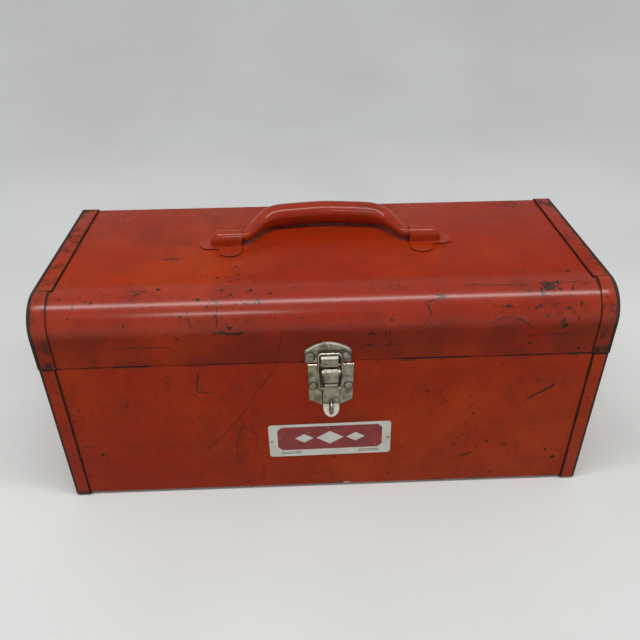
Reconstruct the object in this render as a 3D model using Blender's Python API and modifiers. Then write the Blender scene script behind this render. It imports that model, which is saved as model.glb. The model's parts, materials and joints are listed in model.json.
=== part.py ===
"""A hand-carried sheet-steel tool box: hinged lid, folding handle, draw latch and nameplate.

Metres, +Z up, +X to the right and -Y to the front. The origin is the centre of the underside of the
bottom sheet, which stands level with the feet of the two end pans.
"""

from math import asin, atan2, cos, degrees, hypot, pi, radians, sin, tan

import bmesh
import bpy
from mathutils import Matrix, Vector

# The box
BODY_WIDTH = 0.483
DEPTH = 0.195
SEAM_HEIGHT = 0.1525  # where the lid meets the body
BOX_HEIGHT = 0.2122
LID_OVERHANG = 0.00075  # how far each lid end stands out past the body end
LID_FRONT_RADIUS = 0.0293
LID_ARC_STEPS = 12
LID_BACK_RADIUS = 0.004
BOTTOM_RADIUS = 0.004
SHEET = 0.001
GAP = 0.0003  # air between pieces that touch
LAP = SHEET + GAP  # how deep a sheet lies under the flange that laps it

# The flanges of the end pans
BODY_FLANGE = 0.0132
LID_SKIRT_FLANGE = 0.015
LID_ARC_FLANGE = 0.0132  # at the top of the arc, where it is narrowest
LID_TOP_FLANGE = 0.0165
FLANGE_NOTCH = 0.001  # relief cut between the arc and the top
BEND_RADIUS = 0.0011
BEND_STRIP = 0.0025  # of a flange that the relief cuts leave whole, next to the bend
LIP_HEIGHT = 0.0028  # inner lip of the body, which locates the lid
LIP_STEP = 0.0006  # height over which the sheet steps in to the lip
FIELD_MARGIN = 0.026  # from the edges of the bottom sheet to its pressed field
FIELD_SLOPE = 0.003  # width of the slope around the field

# The hinge along the back
LEAF = 0.0008
LEAF_HEIGHT = 0.015
HINGE_LENGTH = 0.442
KNUCKLES = 17
PIN_RADIUS = 0.0012
KNUCKLE_BORE = 0.00135

# The handle and its brackets
HANDLE_X = 0.004
HANDLE_Y = 0.011
AXIS_ABOVE_LID = 0.0075
STUB_END = 0.098  # half length of the handle, inside the brackets
NECK_X = 0.073  # where the leg leaves the pivot line
NECK_BEND = 0.0055
SHOULDER_X = 0.055  # where the leg turns into the grip
SHOULDER_REACH = 0.0348
SHOULDER_BEND = 0.03
CROWN_REACH = 0.041
CROWN_BEND = 0.1
NECK_RADIUS = 0.0046
GRIP_RADIUS = 0.011
GRIP_HALF = 0.044  # half length over which the grip is at its thickest
GRIP_REST = 0.0004  # air between the folded grip and the lid
SEAM_GROOVE = 0.0008  # depth of the rolled seam along the inside of the handle
BRACKET_INNER = 0.0768
BRACKET_DOME_STRAIGHT = 0.098
BRACKET_DOME_END = 0.107
BRACKET_TIP = 0.117
BRACKET_LOBE_OUTER = 0.0975
BRACKET_LOBE_REACH = 0.0262
BRACKET_LOBE_ROUND = 0.0095
BRACKET_TIP_HALF = 0.0115
BRACKET_TIP_ROUND = 0.0105
BRACKET_WAIST_ROUND = 0.003
BRACKET_SHEET = 0.0009
DOME_HALF = 0.007
DOME_HEIGHT = 0.0133
DOME_SETBACK = 0.0004  # of the dome's open end from the edge of its foot
DOME_NARROWEST = 0.25  # share of its width that the dome keeps at its closed end
DOME_LAST_ANGLE = 75  # where its closed end stops, of 90 degrees to a point

# The latch
LATCH_X = 0.003
STRIKE_X = 0.0008  # the strike was riveted on slightly to the left
HOOK_X = 0.0018
PLATE = 0.0012
PLATE_HALF = 0.0195
BASE_BOTTOM = 0.1057
BASE_SIDE_BOTTOM = 0.1115
BASE_POINT_HALF = 0.008
BASE_TAPER = 0.0005  # how much narrower each side of the base plate is at its bottom
BASE_TOP = 0.1502
STRIKE_BOTTOM = 0.1524
STRIKE_SIDE_TOP = 0.1654
STRIKE_TOP = 0.1735
STRIKE_RIM = 0.002
STRIKE_RIM_HEIGHT = 0.001
STRIKE_CORNER = 0.002
HOOK_HALF = 0.0073
HOOK_TOP = 0.1613
HOOK_BOTTOM = 0.1508
HOOK_OUT = 0.0074
HOOK_EASE = 0.0016  # bevel along the top of the hook
HOOK_NOTCH = 0.0006  # in which the bail's bar rests
RIVET_X = 0.0152
RIVET_SHANK = 0.0017
RIVET_HOLE = 0.002
HOLE_REACH = 0.004  # how far the holes are cut to either side of the front sheet
STRIKE_RIVET_HEAD = (0.0043, 0.0011)  # radius and height
BASE_RIVET_HEAD = (0.0038, 0.0009)
STRIKE_RIVET_Z = 0.1583
BASE_RIVET_Z = 0.127
LEVER_PIVOT_Z = 0.1455
LEVER_PIVOT_OUT = 0.0068  # from the front sheet
LEVER_HALF = 0.007
LEVER_BACK = 0.0044
LEVER_TIP = 0.102
BLOCK_HALF = 0.0062
BLOCK_TOP = 0.1494
BLOCK_BOTTOM = 0.1368
BLOCK_OUT = 0.01
BLOCK_EASE = 0.0018
WAIST_HALF = 0.0053
WAIST_OUT = 0.006
WAIST_BOTTOM = 0.1264  # where the tongue is at its full width again
TONGUE_TOP = 0.1332
TONGUE_OUT = 0.008
TONGUE_EASE = 0.0012
FLARE_Z = 0.1112
FLARE_OUT = 0.0142
SLOT_LOW = 0.1036
SLOT_HIGH = 0.1172
SLOT_HALF = 0.0018
EAR_ROUND = 0.0028
BASE_LIP_RADIUS = 0.0015
PIN_HOLE = 0.00135
BAIL_PIVOT_Z = 0.1275
BAIL_PIVOT_OUT = 0.0062
BAIL_BAR_Z = 0.1624
BAIL_BAR_OUT = 0.0036
BAIL_BAR_HALF = 0.0095
BAIL_LEG_HALF = 0.0104
BAIL_LEAN = 0.0009  # how far the bar sits to the left of the pivots
BAIL_EYE = 0.0016  # bend radii, from the pivots up to the bar
BAIL_BOW = 0.02
BAIL_CORNER = 0.0028
WIRE_RADIUS = 0.0012
STAPLE_LOW = 0.1066
STAPLE_HIGH = 0.1158
STAPLE_OUT = 0.0156
STAPLE_WIRE = 0.001
STAPLE_ROOT = 0.0006  # its legs end in the base plate, clear of the front sheet
STAPLE_BEND = 0.003

# The nameplate
NAME_X = 0.0022
NAME_Z = 0.0628
NAME_WIDTH = 0.112
NAME_HEIGHT = 0.0388
NAME_SHEET = 0.0005
NAME_TILT = radians(0.7)
NAME_PIN_INSET = 0.0026
NAME_PIN_HEAD = (0.0016, 0.0007)
NAME_PIN_SHANK = 0.0008
NAME_PIN_HOLE = 0.0011
NAME_CORNER = 0.003

SHEET_Y = DEPTH / 2 - LAP  # outer face of the front and back sheets
BODY_SHEET_X = BODY_WIDTH / 2 - LAP
FIELD_X = BODY_SHEET_X - FIELD_MARGIN
FIELD_Y = SHEET_Y - FIELD_MARGIN
LID_HALF = BODY_WIDTH / 2 + LID_OVERHANG
LID_TOP = BOX_HEIGHT - LAP  # the sheet between the end pans, which carries the handle
LID_SHEET_X = LID_HALF - LAP
LID_EDGE_Z = SEAM_HEIGHT + GAP / 2
KNUCKLE_MID = KNUCKLE_BORE + LEAF / 2
HINGE_Y = SHEET_Y + GAP + LEAF / 2 + KNUCKLE_MID
HINGE_Z = SEAM_HEIGHT
HANDLE_AXIS = Vector((HANDLE_X, HANDLE_Y, LID_TOP + AXIS_ABOVE_LID))
PLATE_FRONT = GAP + PLATE
HOLE_COLUMNS = (LATCH_X - NAME_WIDTH / 4, LATCH_X, LATCH_X + NAME_WIDTH / 4)  # between the front's holes

# Finishes: colour, roughness and metallic
ENAMEL = ((0.29, 0.045, 0.022, 1.0), 0.4, 0.0)
NICKEL = ((0.42, 0.40, 0.34, 1.0), 0.38, 1.0)
STEEL = ((0.34, 0.33, 0.32, 1.0), 0.35, 1.0)
SILVER = ((0.72, 0.71, 0.68, 1.0), 0.35, 0.6)


# ---------------------------------------------------------------- outlines

def arc(centre, radius, start, end, segments):
    """Points of an arc in a plane, from angle start to angle end in degrees."""
    steps = [radians(start + (end - start) * i / segments) for i in range(segments + 1)]
    return [(centre[0] + radius * cos(a), centre[1] + radius * sin(a)) for a in steps]


def rounded(corners, closed=True, step=15):
    """An outline whose corners (x, y, radius) are rounded, with a point every step degrees."""
    count = len(corners)
    points = []
    for i, (x, y, radius) in enumerate(corners):
        if radius == 0 or (not closed and i in (0, count - 1)):
            points.append((x, y))
            continue
        corner = Vector((x, y))
        before = (Vector(corners[i - 1][:2]) - corner).normalized()
        after = (Vector(corners[(i + 1) % count][:2]) - corner).normalized()
        turn = pi - before.angle(after)
        along = radius * tan(turn / 2)
        centre = corner + (before + after).normalized() * hypot(radius, along)
        first = corner + before * along - centre
        last = corner + after * along - centre
        start = atan2(first.y, first.x)
        sweep = (atan2(last.y, last.x) - start + pi) % (2 * pi) - pi
        segments = max(2, round(abs(sweep) / radians(step)))
        for k in range(segments + 1):
            angle = start + sweep * k / segments
            points.append((centre.x + radius * cos(angle), centre.y + radius * sin(angle)))
    return points


# ---------------------------------------------------------------- objects

def make_material(name, colour, roughness, metallic):
    material = bpy.data.materials.new(name)
    material.use_nodes = True
    shader = material.node_tree.nodes["Principled BSDF"]
    shader.inputs["Base Color"].default_value = colour
    shader.inputs["Roughness"].default_value = roughness
    shader.inputs["Metallic"].default_value = metallic
    return material


def add_part(name, mesh, finish, smooth_angle=35):
    """A finished piece, shaded smooth apart from its real edges."""
    part = bpy.data.objects.new(name, mesh)
    PARTS.objects.link(part)
    part.data.materials.clear()
    part.data.materials.append(make_material(name, *finish))
    mesh.shade_smooth()
    mesh.set_sharp_from_angle(angle=radians(smooth_angle))
    return part


def add_cutter(name, mesh):
    """A shape that is joined to, cut from or intersected with a piece, and never seen."""
    cutter = bpy.data.objects.new(name, mesh)
    CUTTERS.objects.link(cutter)
    cutter.hide_render = True
    cutter.display_type = "WIRE"
    return cutter


def combine(part, name, mesh, operation):
    """Put a Boolean with the given mesh on the piece."""
    modifier = part.modifiers.new(name, "BOOLEAN")
    modifier.operation = operation
    modifier.object = add_cutter(f"{part.name}_{name}", mesh)
    return modifier


def hang(part, pivot):
    """Parent a moving piece, made in world coordinates, to an empty on its joint's axis."""
    empty = bpy.data.objects.get(pivot[0])
    if empty is None:
        empty = bpy.data.objects.new(pivot[0], None)
        empty.location = pivot[1]
        PARTS.objects.link(empty)
    part.data.transform(Matrix.Translation(-Vector(pivot[1])))
    part.parent = empty
    return part


def mesh_from(bm, name):
    mesh = bpy.data.meshes.new(name)
    bm.to_mesh(mesh)
    bm.free()
    return mesh


def join_meshes(meshes, name):
    """Several separate closed shapes as one mesh, for use as a single cutter."""
    bm = bmesh.new()
    for mesh in meshes:
        bm.from_mesh(mesh)
        bpy.data.meshes.remove(mesh)
    return mesh_from(bm, name)


def extruded(corners, shift, name):
    """A closed flat outline of (x, y, z) corners, extruded by a shift."""
    bm = bmesh.new()
    base = bm.faces.new([bm.verts.new(corner) for corner in corners])
    grown = bmesh.ops.extrude_face_region(bm, geom=[base])
    moved = [item for item in grown["geom"] if isinstance(item, bmesh.types.BMVert)]
    bmesh.ops.translate(bm, verts=moved, vec=shift)
    bmesh.ops.recalc_face_normals(bm, faces=bm.faces)
    return mesh_from(bm, name)


def prism(outline, low, high, axis, name="prism"):
    """A closed outline extruded along X or Y from low to high.

    Along X the outline's points are (y, z), and along Y they are (x, z).
    """
    if axis == "X":
        return extruded([(low, y, z) for y, z in outline], (high - low, 0, 0), name)
    return extruded([(x, low, z) for x, z in outline], (0, high - low, 0), name)


def rod(radius, start, end, sides=16, name="rod"):
    """A cylinder between two points."""
    bm = bmesh.new()
    along = Vector(end) - Vector(start)
    turn = Vector((0, 0, 1)).rotation_difference(along).to_matrix().to_4x4()
    place = Matrix.Translation((Vector(start) + Vector(end)) / 2) @ turn
    bmesh.ops.create_cone(bm, cap_ends=True, segments=sides, radius1=radius, radius2=radius,
                          depth=along.length, matrix=place)
    return mesh_from(bm, name)


def block(low, high):
    """A box between two corners."""
    bm = bmesh.new()
    size = Vector(high) - Vector(low)
    middle = (Vector(high) + Vector(low)) / 2
    bmesh.ops.create_cube(bm, size=1, matrix=Matrix.Translation(middle) @ Matrix.Diagonal((*size, 1)))
    return mesh_from(bm, "block")


def loft(rings):
    """A closed skin through rings of equal point counts, with both ends capped."""
    bm = bmesh.new()
    loops = [[bm.verts.new(point) for point in ring] for ring in rings]
    for one, other in zip(loops, loops[1:]):
        for i in range(len(one)):
            j = (i + 1) % len(one)
            bm.faces.new((one[i], one[j], other[j], other[i]))
    bm.faces.new(reversed(loops[0]))
    bm.faces.new(loops[-1])
    bmesh.ops.recalc_face_normals(bm, faces=bm.faces)
    return mesh_from(bm, "loft")


def add_solidify(part, thickness):
    solidify = part.modifiers.new("sheet", "SOLIDIFY")
    solidify.thickness = thickness
    solidify.offset = -1
    solidify.use_even_offset = True
    return solidify


def fill_between(bm, one, other):
    """Faces between two rows of vertices of equal length."""
    for i in range(len(one) - 1):
        bm.faces.new((one[i], other[i], other[i + 1], one[i + 1]))


def folded_sheet(path, stations, name):
    """The outer skin of a sheet folded along a path of (y, z) points.

    It runs through the stations, which are X values from left to right: its two ends, and a few
    between them that keep each hole in a face of its own.
    """
    bm = bmesh.new()
    columns = [[bm.verts.new((x, y, z)) for y, z in path] for x in stations]
    for left, right in zip(columns, columns[1:]):
        fill_between(bm, left, right)
    return mesh_from(bm, name)


def end_pan(profile, flanges, side, half_width, name, lip=None):
    """The outer skin of an end pan: a flat panel with a flange turned in around its edge.

    The profile's points are (y, z). Each flange is (first point, last point, first width, last width),
    and all of them share one unbroken strip next to the bend.
    A lip is (points along the panel's top edge, step in, step up, height).
    """
    bm = bmesh.new()
    verts = [bm.verts.new((side * half_width, y, z)) for y, z in profile]
    panel = bm.faces.new(verts)
    end = flanges[-1][1]
    strip = [bm.verts.new((side * (half_width - BEND_STRIP), y, z)) for y, z in profile[:end + 1]]
    fill_between(bm, verts[:end + 1], strip)
    for first, last, width, last_width in flanges:
        edge = []
        for i in range(first, last + 1):
            reach = width + (last_width - width) * (i - first) / (last - first)
            edge.append(bm.verts.new((side * (half_width - reach), *profile[i])))
        fill_between(bm, strip[first:last + 1], edge)
    bmesh.ops.remove_doubles(bm, verts=bm.verts, dist=1e-5)
    if lip:
        (one, other), step_in, step_up, height = lip
        edge = [bm.edges.get((verts[one], verts[other]))]
        for shift in ((-side * step_in, 0, step_up), (0, 0, height)):
            grown = bmesh.ops.extrude_edge_only(bm, edges=edge)
            moved = [item for item in grown["geom"] if isinstance(item, bmesh.types.BMVert)]
            edge = [item for item in grown["geom"] if isinstance(item, bmesh.types.BMEdge)
                    and all(vert in moved for vert in item.verts)]
            bmesh.ops.translate(bm, verts=moved, vec=shift)
    bmesh.ops.recalc_face_normals(bm, faces=bm.faces)
    panel.normal_update()
    if panel.normal.x * side < 0:
        bmesh.ops.reverse_faces(bm, faces=bm.faces)
    return mesh_from(bm, name)


def round_bends(part):
    """The small radius where a pan's flange turns from its panel."""
    bevel = part.modifiers.new("bend", "BEVEL")
    bevel.width = BEND_RADIUS
    bevel.segments = 2
    bevel.limit_method = "ANGLE"
    bevel.angle_limit = radians(50)
    return bevel


# ---------------------------------------------------------------- fasteners

def out(distance):
    """The Y of a point that stands this far out from the front sheet."""
    return -SHEET_Y - distance


def rivet(name, x, z, plate, head, shank, finish, steps=16):
    """A rivet through a plate and the front sheet, with a domed head outside and an upset tail inside."""
    head_radius, head_height = head
    tail_radius = shank * 1.5
    under = plate + GAP
    inside = -SHEET - GAP
    dome = [(head_radius * x, under + head_height * y) for x, y in arc((0, 0), 1, 90, 0, 3)]
    profile = dome + [(shank, under), (shank, inside), (tail_radius, inside),
                      (tail_radius * 0.8, inside - SHEET), (0, inside - SHEET)]
    bm = bmesh.new()
    verts = [bm.verts.new((radius, 0, height)) for radius, height in profile]
    for one, other in zip(verts, verts[1:]):
        bm.edges.new((one, other))
    part = add_part(name, mesh_from(bm, name), finish)
    part.location = (x, -SHEET_Y, z)
    part.rotation_euler = (pi / 2, 0, 0)
    screw = part.modifiers.new("turn", "SCREW")
    screw.steps = steps
    screw.render_steps = steps
    screw.use_merge_vertices = True
    screw.merge_threshold = 1e-5
    return part


def front_holes(places, radius, name):
    """Round holes through the front sheet and whatever plate lies on it."""
    return join_meshes([rod(radius, (x, out(-HOLE_REACH), z), (x, out(HOLE_REACH), z), 12) for x, z in places],
                       name)


# ---------------------------------------------------------------- body and lid

def make_body():
    """The folded front, bottom and back of the body, and its two end pans."""
    lip_y = SHEET_Y - LAP
    top = SEAM_HEIGHT - LIP_STEP
    low = LAP
    path = [(lip_y, SEAM_HEIGHT + LIP_HEIGHT), (lip_y, SEAM_HEIGHT), (SHEET_Y, top)]
    path += arc((SHEET_Y - BOTTOM_RADIUS, low + BOTTOM_RADIUS), BOTTOM_RADIUS, 0, -90, 4)
    path += [(y, low) for y in (FIELD_Y + FIELD_SLOPE, FIELD_Y, -FIELD_Y, -FIELD_Y - FIELD_SLOPE)]
    path += arc((-SHEET_Y + BOTTOM_RADIUS, low + BOTTOM_RADIUS), BOTTOM_RADIUS, 270, 180, 4)
    path += [(-SHEET_Y, top), (-lip_y, SEAM_HEIGHT), (-lip_y, SEAM_HEIGHT + LIP_HEIGHT)]
    ends = [FIELD_X, FIELD_X + FIELD_SLOPE, BODY_SHEET_X]
    skin = folded_sheet(path, [-x for x in reversed(ends)] + [*HOLE_COLUMNS] + ends, "body_wrap")
    for vert in skin.vertices:
        if abs(vert.co.x) < FIELD_X + GAP and abs(vert.co.y) < FIELD_Y + GAP and vert.co.z < low + GAP:
            vert.co.z = 0
    wrap = add_part("body_wrap", skin, ENAMEL)
    add_solidify(wrap, SHEET)
    rivets = [(LATCH_X + s * RIVET_X, BASE_RIVET_Z) for s in (-1, 1)]
    combine(wrap, "rivet_holes", front_holes(rivets, RIVET_HOLE, "rivet_holes"), "DIFFERENCE")
    combine(wrap, "pin_holes", front_holes(name_pins(), NAME_PIN_HOLE, "pin_holes"), "DIFFERENCE")

    half = DEPTH / 2
    lip_half = SHEET_Y - LAP - SHEET - GAP
    profile = [(half, top)] + arc((half - BOTTOM_RADIUS, BOTTOM_RADIUS), BOTTOM_RADIUS, 0, -90, 4)
    profile += arc((-half + BOTTOM_RADIUS, BOTTOM_RADIUS), BOTTOM_RADIUS, 270, 180, 4)
    profile += [(-half, top), (-lip_half, top), (lip_half, top)]
    last = len(profile) - 3
    lip = ((last + 1, last + 2), LAP - LID_OVERHANG, LIP_STEP, LIP_HEIGHT)
    for side, word in ((-1, "left"), (1, "right")):
        name = f"body_end_{word}"
        skin = end_pan(profile, [(0, last, BODY_FLANGE, BODY_FLANGE)], side, BODY_WIDTH / 2, name, lip)
        pan = add_part(name, skin, ENAMEL)
        round_bends(pan)
        add_solidify(pan, SHEET)


def lid_path(inset):
    """The lid's cross-section from its front edge over the top to its back edge, (y, z) points."""
    half = DEPTH / 2 - inset
    top = BOX_HEIGHT - inset
    front, back = LID_FRONT_RADIUS - inset, LID_BACK_RADIUS - inset
    path = [(-half, LID_EDGE_Z)] + arc((-half + front, top - front), front, 180, 90, LID_ARC_STEPS)
    return path + arc((half - back, top - back), back, 90, 0, 4) + [(half, LID_EDGE_Z)]


def make_lid():
    """The folded front, top and back of the lid, and its two end pans."""
    skin = folded_sheet(lid_path(LAP), [-LID_SHEET_X, *HOLE_COLUMNS, LID_SHEET_X], "lid_wrap")
    wrap = add_part("lid_wrap", skin, ENAMEL)
    add_solidify(wrap, SHEET)
    rivets = [(STRIKE_X + s * RIVET_X, STRIKE_RIVET_Z) for s in (-1, 1)]
    combine(wrap, "rivet_holes", front_holes(rivets, RIVET_HOLE, "rivet_holes"), "DIFFERENCE")
    hang(wrap, LID_PIVOT)

    outline = lid_path(0)
    arc_end = LID_ARC_STEPS + 1
    middle = arc_end - LID_ARC_STEPS // 2
    top_start = (outline[arc_end][0] + FLANGE_NOTCH, outline[arc_end][1])
    notched = outline[:arc_end + 1] + [top_start] + outline[arc_end + 1:]
    last = len(notched) - 1
    flanges = [(0, middle, LID_SKIRT_FLANGE, LID_SKIRT_FLANGE),
               (middle, arc_end, LID_SKIRT_FLANGE, LID_ARC_FLANGE),
               (arc_end + 1, last, LID_TOP_FLANGE, LID_TOP_FLANGE)]
    for side, word in ((-1, "left"), (1, "right")):
        name = f"lid_end_{word}"
        pan = add_part(name, end_pan(notched, flanges, side, LID_HALF, name), ENAMEL)
        hang(pan, LID_PIVOT)
        round_bends(pan)
        add_solidify(pan, SHEET)


def make_hinge():
    """A continuous hinge: two leaves with rolled knuckles that take turns along one pin."""
    face = HINGE_Y - KNUCKLE_MID + LEAF / 2
    outer = KNUCKLE_MID + LEAF / 2
    pitch = HINGE_LENGTH / KNUCKLES
    reach = outer + GAP
    for word, up in (("body", -1), ("lid", 1)):
        roll = [(HINGE_Y + outer * cos(a), HINGE_Z - up * outer * sin(a))
                for a in (pi - radians(270) * i / 12 for i in range(13))]
        path = [(HINGE_Y - outer, HINGE_Z + up * LEAF_HEIGHT)] + roll
        if up > 0:
            path.reverse()
        skin = folded_sheet(path, [-HINGE_LENGTH / 2, HINGE_LENGTH / 2], "leaf")
        leaf = add_part(f"hinge_leaf_{word}", skin, ENAMEL)
        add_solidify(leaf, LEAF)
        gaps = []
        for i in range(KNUCKLES):
            if (i % 2 == 0) == (word == "lid"):
                start = -HINGE_LENGTH / 2 + i * pitch
                low = start - GAP / 2 if i else start - pitch
                high = start + pitch + GAP / 2 if i < KNUCKLES - 1 else start + 2 * pitch
                ends = sorted((HINGE_Z + up * reach, HINGE_Z - up * 3 * reach))
                gaps.append(block((low, face - 3 * LEAF, ends[0]), (high, HINGE_Y + 2 * outer, ends[1])))
        combine(leaf, "gaps", join_meshes(gaps, "gaps"), "DIFFERENCE")
        if word == "lid":
            hang(leaf, LID_PIVOT)
    ends = HINGE_LENGTH / 2 + 0.001
    pin = rod(PIN_RADIUS, (-ends, HINGE_Y, HINGE_Z), (ends, HINGE_Y, HINGE_Z), 16, "hinge_pin")
    add_part("hinge_pin", pin, STEEL)


# ---------------------------------------------------------------- handle

def handle_line():
    """The centreline of the handle, (along, reach) from the middle of its pivot line."""
    half = [(-STUB_END, 0, 0), (-NECK_X, 0, NECK_BEND), (-SHOULDER_X, SHOULDER_REACH, SHOULDER_BEND)]
    corners = half + [(0, CROWN_REACH, CROWN_BEND)] + [(-x, reach, bend) for x, reach, bend in reversed(half)]
    line = rounded(corners, closed=False, step=8)
    stub = [(-BRACKET_INNER, 0)]
    return line[:1] + stub + line[1:-1] + [(BRACKET_INNER, 0)] + line[-1:]


def handle_radius(along):
    """The handle swells from its necks to its grip."""
    share = min(1.0, max(0.0, (BRACKET_INNER - abs(along)) / (BRACKET_INNER - GRIP_HALF)))
    ease = share * share * (3 - 2 * share)
    return NECK_RADIUS + (GRIP_RADIUS - NECK_RADIUS) * ease


def handle_ring(points, i, sides=16):
    """One section of the handle: round, with the rolled seam sunk into its inner side."""
    along, reach = points[i]
    before, after = points[max(i - 1, 0)], points[min(i + 1, len(points) - 1)]
    run = Vector((after[0] - before[0], after[1] - before[1])).normalized()
    inward = Vector((run.y, -run.x))
    radius = handle_radius(along)
    grip = (radius - NECK_RADIUS) / (GRIP_RADIUS - NECK_RADIUS)
    ring = []
    for k in range(sides):
        angle = 2 * pi * k / sides
        size = radius - (SEAM_GROOVE * grip if k == 0 else 0)
        across = inward * (size * cos(angle))
        ring.append((along + across.x, reach + across.y, size * sin(angle)))
    return ring


def handle_tilt(line):
    """How far the handle rises from its pivot line when its thickest place rests on the lid."""
    return max(asin((handle_radius(along) + GRIP_REST - AXIS_ABOVE_LID) / reach)
               for along, reach in line if reach > GRIP_RADIUS)


def make_handle():
    """The folding handle, lying back on the lid, and the two brackets that hold its ends."""
    line = handle_line()
    handle = add_part("handle", loft([handle_ring(line, i) for i in range(len(line))]), ENAMEL, 60)
    pivot = bpy.data.objects.new("handle_pivot", None)
    pivot.location = HANDLE_AXIS
    pivot.rotation_euler = (handle_tilt(line), 0, 0)
    PARTS.objects.link(pivot)
    handle.parent = pivot

    for side, word in ((-1, "left"), (1, "right")):
        bracket = add_part(f"handle_bracket_{word}", bracket_plate(side), ENAMEL, 40)
        bracket.location = (HANDLE_X, HANDLE_Y, LID_TOP + GAP)
        combine(bracket, "dome", bracket_dome(side, 0), "UNION")
        combine(bracket, "tunnel", bracket_dome(side, BRACKET_SHEET), "DIFFERENCE")
        for modifier in bracket.modifiers:
            modifier.object.location = bracket.location


def bracket_plate(side):
    """The spot-welded foot of a bracket, with a round lobe to the outside, the front and the back."""
    half = [(BRACKET_INNER, -BRACKET_LOBE_REACH, BRACKET_LOBE_ROUND),
            (BRACKET_LOBE_OUTER, -BRACKET_LOBE_REACH, BRACKET_LOBE_ROUND),
            (BRACKET_LOBE_OUTER, -BRACKET_TIP_HALF, BRACKET_WAIST_ROUND),
            (BRACKET_TIP, -BRACKET_TIP_HALF, BRACKET_TIP_ROUND)]
    corners = half + [(x, -y, radius) for x, y, radius in reversed(half)]
    outline = [(side * x, y, 0) for x, y in rounded(corners, step=18)]
    return extruded(outline, (0, 0, BRACKET_SHEET), "plate")


def bracket_dome(side, inset):
    """The tunnel of a bracket, open towards the handle; its hollow is the same shape, inset by a sheet."""
    start = BRACKET_INNER - 2 * inset if inset else BRACKET_INNER + DOME_SETBACK
    floor = -inset if inset else BRACKET_SHEET / 2
    length = BRACKET_DOME_END - BRACKET_DOME_STRAIGHT - inset
    closing = arc((0, 0), 1, 0, DOME_LAST_ANGLE, 4)
    rings = []
    for x, scale in [(start, 1)] + [(BRACKET_DOME_STRAIGHT + length * rise, fall) for fall, rise in closing]:
        half = (DOME_HALF - inset) * (DOME_NARROWEST + (1 - DOME_NARROWEST) * scale)
        height = max((DOME_HEIGHT - inset) * scale, half + floor + GAP)
        top = [(half * cos(radians(a)), height - half + half * sin(radians(a))) for a in range(180, -1, -20)]
        rings.append([(side * x, -half, floor)] + [(side * x, y, z) for y, z in top] + [(side * x, half, floor)])
    return loft(rings)


# ---------------------------------------------------------------- latch

def mirrored(half, middle):
    """A closed outline from its right half, listed from the bottom middle to the top middle."""
    return [(middle + x, z) for x, z in half] + [(middle - x, z) for x, z in reversed(half) if x > 0]


def side_prism(outline, middle, half_width, name):
    """An outline of (out, z) points extruded sideways about a middle X."""
    return prism([(out(o), z) for o, z in outline], middle - half_width, middle + half_width, "X", name)


def make_strike():
    """The lid's half of the latch: an arched plate with a raised rim and the hook that the bail pulls on."""
    chord, rise = PLATE_HALF, STRIKE_TOP - STRIKE_SIDE_TOP
    radius = (chord * chord + rise * rise) / (2 * rise)
    reach = asin(chord / radius)
    middle = STRIKE_TOP - radius
    arch = arc((0, middle), radius, 90 - degrees(reach), 90, 8)[:-1] + [(0, STRIKE_TOP)]
    corner = arc((PLATE_HALF - STRIKE_CORNER, STRIKE_BOTTOM + STRIKE_CORNER), STRIKE_CORNER, -90, 0, 4)
    plate = prism(mirrored(corner + arch, STRIKE_X), out(GAP), out(PLATE_FRONT), "Y", "plate")
    strike = add_part("strike_plate", plate, NICKEL)
    inner = radius - STRIKE_RIM
    under = [(x * inner / radius, middle + (z - middle) * inner / radius) for x, z in arch]
    rim = [(STRIKE_X + x, z) for x, z in arch] + [(STRIKE_X - x, z) for x, z in reversed(arch[:-1])]
    rim += [(STRIKE_X - x, z) for x, z in under[:-1]] + [(STRIKE_X + x, z) for x, z in reversed(under)]
    combine(strike, "rim", prism(rim, out(PLATE_FRONT / 2), out(PLATE_FRONT + STRIKE_RIM_HEIGHT), "Y"), "UNION")
    root = PLATE_FRONT / 2
    seat = HOOK_TOP - HOOK_NOTCH
    hook = [(root, HOOK_BOTTOM + HOOK_OUT / 2), (HOOK_OUT - 2 * HOOK_EASE, HOOK_BOTTOM),
            (HOOK_OUT - HOOK_EASE / 2, HOOK_BOTTOM), (HOOK_OUT, HOOK_BOTTOM + HOOK_EASE / 2),
            (HOOK_OUT, HOOK_TOP - HOOK_EASE), (HOOK_OUT - HOOK_EASE, HOOK_TOP),
            (HOOK_OUT - HOOK_EASE - HOOK_NOTCH, HOOK_TOP), (HOOK_OUT - HOOK_EASE - 2 * HOOK_NOTCH, seat),
            (root, seat)]
    combine(strike, "hook", side_prism(hook, HOOK_X, HOOK_HALF, "hook"), "UNION")
    places = [(STRIKE_X + s * RIVET_X, STRIKE_RIVET_Z) for s in (-1, 1)]
    combine(strike, "rivet_holes", front_holes(places, RIVET_HOLE, "rivet_holes"), "DIFFERENCE")
    hang(strike, LID_PIVOT)
    for modifier in strike.modifiers:
        modifier.object.data.transform(Matrix.Translation(-Vector(LID_PIVOT[1])))
        modifier.object.parent = strike.parent
    for (x, z), word in zip(places, ("left", "right")):
        rivet(f"strike_rivet_{word}", x, z, PLATE_FRONT, STRIKE_RIVET_HEAD, RIVET_SHANK, NICKEL)


def pivot_rod(radius, reach, name="pivot"):
    """A rod along the lever's axis that reaches this far to either side of its middle."""
    ends = [(LATCH_X + s * reach, out(LEVER_PIVOT_OUT), LEVER_PIVOT_Z) for s in (-1, 1)]
    return rod(radius, *ends, 12, name)


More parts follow.
